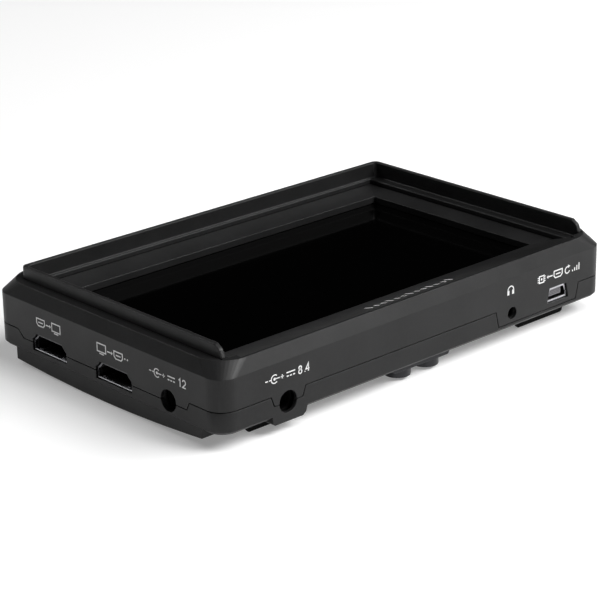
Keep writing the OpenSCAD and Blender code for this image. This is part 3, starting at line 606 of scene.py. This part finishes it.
def video_socket_inside(name, y):
    face = VIDEO_FACE_X

    def ring_at(x):
        return lambda p: Vector((x, y + p[0], PORT_Z + p[1])) * MM

    # Painted shade: a black lining over the inner walls of the metal shell, with a black block at its back,
    # stands in for the shade inside the socket
    liner = bmesh.new()
    slab(liner, video_outline(-SHELL_T + 0.03), ring_at(face + 1.1), ring_at(face + VIDEO_DEPTH - 0.1),
         (video_outline(-SHELL_T - 0.07),))
    block(liner, face + VIDEO_DEPTH - 1.6, face + VIDEO_DEPTH - 0.2, y - 6.4, y + 6.4,
          PORT_Z - 1.9, PORT_Z + 1.2, 0.1)
    piece(name + "_shade_lining", liner, black_plastic_and_painted_shade, "housing")

    sleeve = bmesh.new()
    block(sleeve, face + TONGUE_FROM - 0.15, face + VIDEO_DEPTH - 1.0,
          y - TONGUE_HALF - 0.1, y + TONGUE_HALF + 0.1,
          PORT_Z - TONGUE_T - 0.1, PORT_Z + TONGUE_T + 0.1, 0.15)
    piece(name + "_tongue", sleeve, black_plastic_and_painted_shade, "housing")

    contacts = bmesh.new()
    for i in range(10):
        at = y + (i - 4.5) * 1.0
        block(contacts, face + TONGUE_FROM + 0.3, face + VIDEO_DEPTH - 1.7, at - 0.22, at + 0.22,
              PORT_Z - TONGUE_T - 0.16, PORT_Z - TONGUE_T - 0.05)
    for i in range(9):
        at = y + (i - 4) * 1.0
        block(contacts, face + TONGUE_FROM + 0.3, face + VIDEO_DEPTH - 1.7, at - 0.22, at + 0.22,
              PORT_Z + TONGUE_T + 0.05, PORT_Z + TONGUE_T + 0.16)
    piece(name + "_contacts", contacts, gold, "housing")

    lip = bmesh.new()
    low_z = PORT_Z - VIDEO_H / 2
    lip_profile = [(face - 0.1, low_z - 0.02), (face - 0.14, low_z + 0.1), (face - 0.1, low_z + 0.22),
                   (face + 0.25, low_z + SHELL_T + 0.02), (face + 0.9, low_z + SHELL_T + 0.02),
                   (face + 0.9, low_z - 0.02)]
    slab(lip, lip_profile, lambda p: Vector((p[0], y - VIDEO_W / 2 + 0.3, p[1])) * MM,
         lambda p: Vector((p[0], y + VIDEO_W / 2 - 0.3, p[1])) * MM)
    piece(name + "_lip", lip, nickel, "housing")

    fingers = bmesh.new()
    floor_z = PORT_Z - VIDEO_H / 2 + SHELL_T
    roof_z = PORT_Z + VIDEO_H / 2 - SHELL_T
    for side in (-1, 1):
        for base, rise, reach in ((floor_z, 1.0, 5.1), (roof_z, -1.0, 3.6)):
            at = y + side * reach
            profile = [(face + 0.35, 0.0), (face + 0.55, 0.3), (face + 0.9, 0.36), (face + 1.4, 0.26),
                       (face + 3.4, 0.08), (face + 4.2, 0.08), (face + 4.2, 0.0)]
            slab(fingers, profile, lambda p: Vector((p[0], at - 0.7, base + rise * p[1])) * MM,
                 lambda p: Vector((p[0], at + 0.7, base + rise * p[1])) * MM)
    piece(name + "_fingers", fingers, nickel, "housing")


video_socket_inside("video_in", VIDEO_IN_Y)
video_socket_inside("video_out", VIDEO_OUT_Y)


# Round parts are turned: a profile of radius and depth, spun round an axis that points into the case

class Axis:
    def __init__(self, mouth, inward):
        self.mouth = Vector(mouth)
        self.inward = Vector(inward).normalized()
        self.side = self.inward.orthogonal().normalized()
        self.other = self.inward.cross(self.side)

    def at(self, depth, radius, angle):
        swing = self.side * math.cos(angle) + self.other * math.sin(angle)
        return (self.mouth + self.inward * depth + swing * radius) * MM


def turned(bm, axis, profile, steps=40):
    """Spins a closed profile of (depth, radius) points."""
    rings = [[bm.verts.new(axis.at(d, r, 2 * math.pi * i / steps)) for i in range(steps)] for d, r in profile]
    count = len(rings)
    for k in range(count):
        a, b = rings[k], rings[(k + 1) % count]
        for i in range(steps):
            j = (i + 1) % steps
            bm.faces.new((a[i], a[j], b[j], b[i]))


JACK_BACK = 2.7
JACK_DEPTH = 8.4
PIN_BACK = 2.8
PIN_R = 1.05
JACK_R = 3.1


def power_jack_inside(name, mouth, inward, leaf_angle):
    axis = Axis(mouth, inward)
    pin = bmesh.new()
    start = JACK_BACK + PIN_BACK
    end = JACK_BACK + JACK_DEPTH - 0.3
    turned(pin, axis, [(start - 0.12, 0.45), (start - 0.12, PIN_R - 0.25), (start + 0.25, PIN_R + 0.05),
                       (end, PIN_R + 0.05), (end, PIN_R - 0.2),
                       (start + 0.9, PIN_R - 0.2), (start + 0.9, 0.45)])
    piece(name + "_pin", pin, dark_steel, "housing")
    rim = bmesh.new()
    turned(rim, axis, [(JACK_BACK - 0.02, JACK_R + 0.02), (JACK_BACK - 0.02, JACK_R + 0.55),
                       (JACK_BACK + 0.06, JACK_R + 0.6), (JACK_BACK + 0.06, JACK_R - 0.05),
                       (JACK_BACK + 2.2, JACK_R - 0.05), (JACK_BACK + 2.2, JACK_R + 0.02)])
    piece(name + "_lip", rim, black_plastic_and_painted_shade, "housing")
    leaf = bmesh.new()
    half = 0.28
    rows = []
    for depth, lift in ((JACK_BACK - 0.9, 0.1), (JACK_BACK + 0.4, 0.25), (JACK_BACK + 2.4, 0.75),
                        (JACK_BACK + 4.6, 0.3), (JACK_BACK + 6.6, 0.1)):
        rows.append([axis.at(depth, JACK_R - lift - thick, leaf_angle + half * turn_way)
                     for turn_way, thick in ((-1, 0.0), (1, 0.0), (1, 0.14), (-1, 0.14))])
    strips = [[leaf.verts.new(p) for p in row] for row in rows]
    for a, b in zip(strips, strips[1:]):
        for i in range(4):
            j = (i + 1) % 4
            leaf.faces.new((a[i], a[j], b[j], b[i]))
    leaf.faces.new(strips[0])
    leaf.faces.new(strips[-1])
    piece(name + "_leaf", leaf, nickel, "housing")


def angle_of(axis_mouth, inward, way):
    """The angle round the axis at which a direction lies."""
    axis = Axis(axis_mouth, inward)
    return math.atan2(Vector(way).dot(axis.other), Vector(way).dot(axis.side))


POWER_IN_MOUTH = (-CASE_X, POWER_IN.y, POWER_IN.z)
POWER_OUT_MOUTH = (POWER_OUT.x, -CASE_Y, POWER_OUT.z)
EARPHONE_MOUTH = (EARPHONE.x, -CASE_Y, EARPHONE.z)
INTO_LEFT = (1.0, 0.0, 0.0)
INTO_NEAR = (0.0, 1.0, 0.0)
# The ways from the middle of each jack to its contact leaf
POWER_IN_LEAF = (0.0, -0.3, -1.0)
POWER_OUT_LEAF = (-1.0, 0.0, 0.1)
power_jack_inside("power_in", POWER_IN_MOUTH, INTO_LEFT,
                  angle_of(POWER_IN_MOUTH, INTO_LEFT, POWER_IN_LEAF))
power_jack_inside("power_out", POWER_OUT_MOUTH, INTO_NEAR,
                  angle_of(POWER_OUT_MOUTH, INTO_NEAR, POWER_OUT_LEAF))


EARPHONE_STEPS = 32


def earphone_inside():
    axis = Axis(EARPHONE_MOUTH, INTO_NEAR)
    bm = bmesh.new()
    for depth in (JACK_BACK + 2.2, JACK_BACK + 6.0):
        turned(bm, axis, [(depth, 1.82), (depth, 1.74), (depth + 0.15, 1.7), (depth + 0.75, 1.7),
                          (depth + 0.9, 1.74), (depth + 0.9, 1.82)], EARPHONE_STEPS)
    piece("earphone_contacts", bm, dark_steel, "housing")
    bm = bmesh.new()
    turned(bm, axis, [(JACK_BACK - 0.05, 1.86), (JACK_BACK - 0.05, 2.35), (JACK_BACK + 0.05, 2.38),
                      (JACK_BACK + 0.05, 1.82), (JACK_BACK + 0.3, 1.78), (JACK_BACK + 0.3, 1.82)],
           EARPHONE_STEPS)
    piece("earphone_lip", bm, black_plastic_and_painted_shade, "housing")


earphone_inside()


# Service socket: a pale rim, a black lining inside as painted shade, with a grey tongue and its contacts

SERVICE_W = (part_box("service_socket")[1].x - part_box("service_socket")[0].x) / MM
SERVICE_H = (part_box("service_socket")[1].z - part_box("service_socket")[0].z) / MM
SERVICE_RIM = 0.6


def service_outline(grow):
    w = SERVICE_W / 2 + grow
    h = SERVICE_H / 2 + grow
    step = 0.85
    return [(-w, -h), (w, -h), (w, -h + 0.9), (w - step, h), (-w + step, h), (-w, -h + 0.9)]


def across(bm, y0, y1, x0, x1, z0, z1):
    """A box given by its depth first."""
    slab(bm, [(x0, z0), (x1, z0), (x1, z1), (x0, z1)], lambda p: Vector((p[0], y0, p[1])) * MM,
         lambda p: Vector((p[0], y1, p[1])) * MM)


def service_inside():
    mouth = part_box("service_socket")[0].y / MM
    x, z = SERVICE.x, SERVICE.z

    def ring_at(y):
        return lambda p: Vector((x + p[0], y, z + p[1])) * MM

    # Painted shade: a black lining over the socket's inner walls, with a black block at its back, stands in
    # for the shade inside it
    lining = bmesh.new()
    slab(lining, service_outline(-SERVICE_RIM + 0.02), ring_at(mouth + 0.15), ring_at(mouth + 7.9),
         (service_outline(-SERVICE_RIM - 0.08),))
    across(lining, mouth + 7.2, mouth + 7.95, x - 3.5, x + 3.5, z - 1.4, z + 1.4)
    piece("service_shade_lining", lining, black_plastic_and_painted_shade, "housing")
    tongue = bmesh.new()
    across(tongue, mouth + 0.45, mouth + 7.5, x - 2.95, x + 2.25, z - 0.65, z + 1.2)
    piece("service_tongue", tongue, tongue_grey, "housing")
    contacts = bmesh.new()
    for i in range(5):
        at = x - 2.2 + i * 0.95
        across(contacts, mouth + 2.2, mouth + 6.5, at - 0.16, at + 0.16, z - 0.75, z - 0.55)
    piece("service_contacts", contacts, gold, "housing")
    # Painted shade: three thin black strips on the tongue's face stand in for the shade in its slots
    slots = bmesh.new()
    for i in range(3):
        level = z - 0.25 + i * 0.48
        across(slots, mouth + 0.42, mouth + 0.7, x - 2.6, x + 1.9, level, level + 0.1)
    piece("service_tongue_slot_shade", slots, black_plastic_and_painted_shade, "housing")


service_inside()


# Keys: each carries a plain sign, on the key's own body

SIGN_STROKE = 0.24
KEYS = ("power_key", "menu_key", "exit_key", "left_key", "right_key", "source_key")


def key_sign(name, bm, face):
    if name == "power_key":
        draw(bm, face, arc(0.0, -0.1, 0.75, 125.0, 415.0, 20), SIGN_STROKE)
        draw(bm, face, [(0.0, 0.1), (0.0, 0.95)], SIGN_STROKE)
    elif name == "menu_key":
        for i in (-1, 0, 1):
            draw(bm, face, [(-0.9, i * 0.6), (0.9, i * 0.6)], SIGN_STROKE)
    elif name == "exit_key":
        draw(bm, face, [(-0.7, -0.7), (0.7, 0.7)], SIGN_STROKE)
        draw(bm, face, [(-0.7, 0.7), (0.7, -0.7)], SIGN_STROKE)
    elif name in ("left_key", "right_key"):
        way = -1.0 if name == "left_key" else 1.0
        face.flat(bm, [(way * 0.85, 0.0), (-way * 0.6, 0.85), (-way * 0.6, -0.85)], PRINT_LIFT, PRINT_SUNK)
    else:
        draw(bm, face, rect(-0.1, 0.0, 1.8, 1.4), SIGN_STROKE, closed=True)
        draw(bm, face, [(-2.0, 0.0), (-0.2, 0.0)], SIGN_STROKE)
        face.flat(bm, [(0.45, 0.0), (-0.35, 0.45), (-0.35, -0.45)], PRINT_LIFT, PRINT_SUNK)


for name in KEYS:
    low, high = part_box(name)
    face = Face(((low.x + high.x) / 2 / MM, high.y / MM, (low.z + high.z) / 2 / MM),
                (-1.0, 0.0, 0.0), (0.0, 0.0, 1.0))
    bm = bmesh.new()
    key_sign(name, bm, face)
    piece(name + "_sign", bm, print_white, name + "_body")


# Battery bay: gold blades in the terminals, a blank label with ticks, and threads in the arm bosses

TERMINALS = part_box("battery_terminals")
BLADE_X = (-4.0, 4.0)


def battery_blades():
    bm = bmesh.new()
    low, high = TERMINALS[0] / MM, TERMINALS[1] / MM
    for x in BLADE_X:
        across(bm, low.y + 3.2, high.y - 0.3, x - 0.3, x + 0.3, low.z + 0.25, low.z + 2.1)
    piece("battery_blades", bm, gold, "housing")


battery_blades()

PLATE_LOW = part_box("battery_plate")[0] / MM


def thread_ridge(name, x, y, z, radius, depth, pitch=0.7, steps=24):
    """A ridge that winds up the wall of a hole, as a screw thread does."""
    bm = bmesh.new()
    turns = depth / pitch
    count = int(turns * steps)
    rings = []
    for i in range(count + 1):
        angle = 2 * math.pi * i / steps
        rise = pitch * i / steps
        ring = []
        for r, h in ((radius + 0.02, -0.3), (radius - 0.28, 0.0), (radius + 0.02, 0.3)):
            point = Vector((x + r * math.cos(angle), y + r * math.sin(angle), z + 0.35 + rise + h))
            ring.append(bm.verts.new(point * MM))
        rings.append(ring)
    for a, b in zip(rings, rings[1:]):
        for i in range(3):
            j = (i + 1) % 3
            bm.faces.new((a[i], a[j], b[j], b[i]))
    bm.faces.new(rings[0])
    bm.faces.new(rings[-1])
    piece(name, bm, steel, "housing")


MOUNTS = {m["name"]: m for m in frame["record"]["mounts"]}
BOSSES = MOUNTS["arm_bosses"]
boss_x, boss_y, boss_z = (v / MM for v in BOSSES["pos_m"])
boss_dims = BOSSES["dims"]
THREAD_DEPTH = 5.0
for side, name in ((-1, "left_thread"), (1, "right_thread")):
    thread_ridge(name, boss_x + side * boss_dims["spacing_x_mm"] / 2, boss_y, boss_z,
                 boss_dims["hole_r_mm"], THREAD_DEPTH)


def blank_label():
    """A plain rating plate with nothing but a grid of ticks, on the floor of the battery bay."""
    low = PLATE_LOW
    face = Face((0.0, 4.0, low.z), (-1.0, 0.0, 0.0), (0.0, 1.0, 0.0))
    bm = bmesh.new()
    corner = 1.0
    outline = []
    for cx, cy, start in ((12.0, 6.5, 0.0), (-12.0, 6.5, 90.0), (-12.0, -6.5, 180.0), (12.0, -6.5, 270.0)):
        outline += arc(cx - math.copysign(corner, cx), cy - math.copysign(corner, cy),
                       corner, start, start + 90.0, 5)
    face.flat(bm, outline, 0.06, 0.03)
    piece("bay_label", bm, label_grey, "housing")
    bm = bmesh.new()
    for i in range(-9, 10):
        tall = 1.6 if i % 3 == 0 else 0.9
        draw(bm, face, [(i * 1.1, -4.6), (i * 1.1, -4.6 + tall)], 0.2, lift=0.09)
    draw(bm, face, rect(0.0, 0.6, 21.5, 11.0), 0.18, closed=True, lift=0.085)
    piece("bay_label_ticks", bm, print_white, "housing")


blank_label()


# The floor, the sky and the lamps

FLOOR_GLOW = 0.25
FLOOR_HALF = 6.0


def floor_material():
    made, t, shader, place = new_material("floor_white")
    cloud = t.noise(place, 3.0, 2.0, 0.5, 0.0)
    link(t, t.mix(cloud, rgb(0.80), rgb(0.82)), shader, "Base Color")
    shader.inputs["Roughness"].default_value = 0.9
    shader.inputs["Specular IOR Level"].default_value = 0.1
    path = t.add("ShaderNodeLightPath")
    seen = t.math("MAXIMUM", path.outputs["Is Camera Ray"], path.outputs["Is Glossy Ray"])
    seen = t.math("MAXIMUM", seen, path.outputs["Is Transmission Ray"])
    link(t, t.math("MULTIPLY", seen, FLOOR_GLOW), shader, "Emission Strength")
    shader.inputs["Emission Color"].default_value = (1.0, 1.0, 1.0, 1.0)
    return made


floor_mesh = bpy.data.meshes.new("floor")
bm = bmesh.new()
bmesh.ops.create_grid(bm, x_segments=8, y_segments=8, size=FLOOR_HALF)
bm.to_mesh(floor_mesh)
bm.free()
floor_mesh.materials.append(floor_material())
floor = bpy.data.objects.new("floor", floor_mesh)
bpy.context.scene.collection.objects.link(floor)
floor.location = (0.0, 0.0, -0.00005)

world = bpy.data.worlds.new("studio")
bpy.context.scene.world = world
world.use_nodes = True
world.node_tree.nodes.clear()
sky = Tree(world.node_tree)
towards = sky.add("ShaderNodeTexCoord").outputs["Generated"]
height = sky.add("ShaderNodeSeparateXYZ", {0: towards}).outputs["Z"]
level = sky.ramp(height, 0.05, 0.14, 1.0, 0.006)
background = sky.add("ShaderNodeBackground", {"Color": (1.0, 1.0, 1.0, 1.0), "Strength": level})
sky.add("ShaderNodeOutputWorld", {"Surface": background.outputs[0]})


def lamp(name, azimuth, elevation, distance, size, power):
    """A soft box that looks at the object from a direction: azimuth from +X towards +Y, in degrees."""
    data = bpy.data.lights.new(name, "AREA")
    data.shape = "RECTANGLE"
    data.size = size[0]
    data.size_y = size[1]
    data.energy = power
    made = bpy.data.objects.new(name, data)
    bpy.context.scene.collection.objects.link(made)
    a, e = math.radians(azimuth), math.radians(elevation)
    way = Vector((math.cos(a) * math.cos(e), math.sin(a) * math.cos(e), math.sin(e)))
    aim = (-way).to_track_quat("-Z", "Y")
    made.matrix_world = Matrix.Translation(way * distance) @ aim.to_matrix().to_4x4()
    made.visible_camera = False


lamp("key_lamp", -52.0, 40.0, 1.4, (1.1, 0.5), 22.0)
lamp("rear_lamp", 110.0, 42.0, 1.4, (0.7, 0.35), 4.0)
lamp("high_lamp", -75.0, 62.0, 1.5, (0.6, 0.6), 8.0)
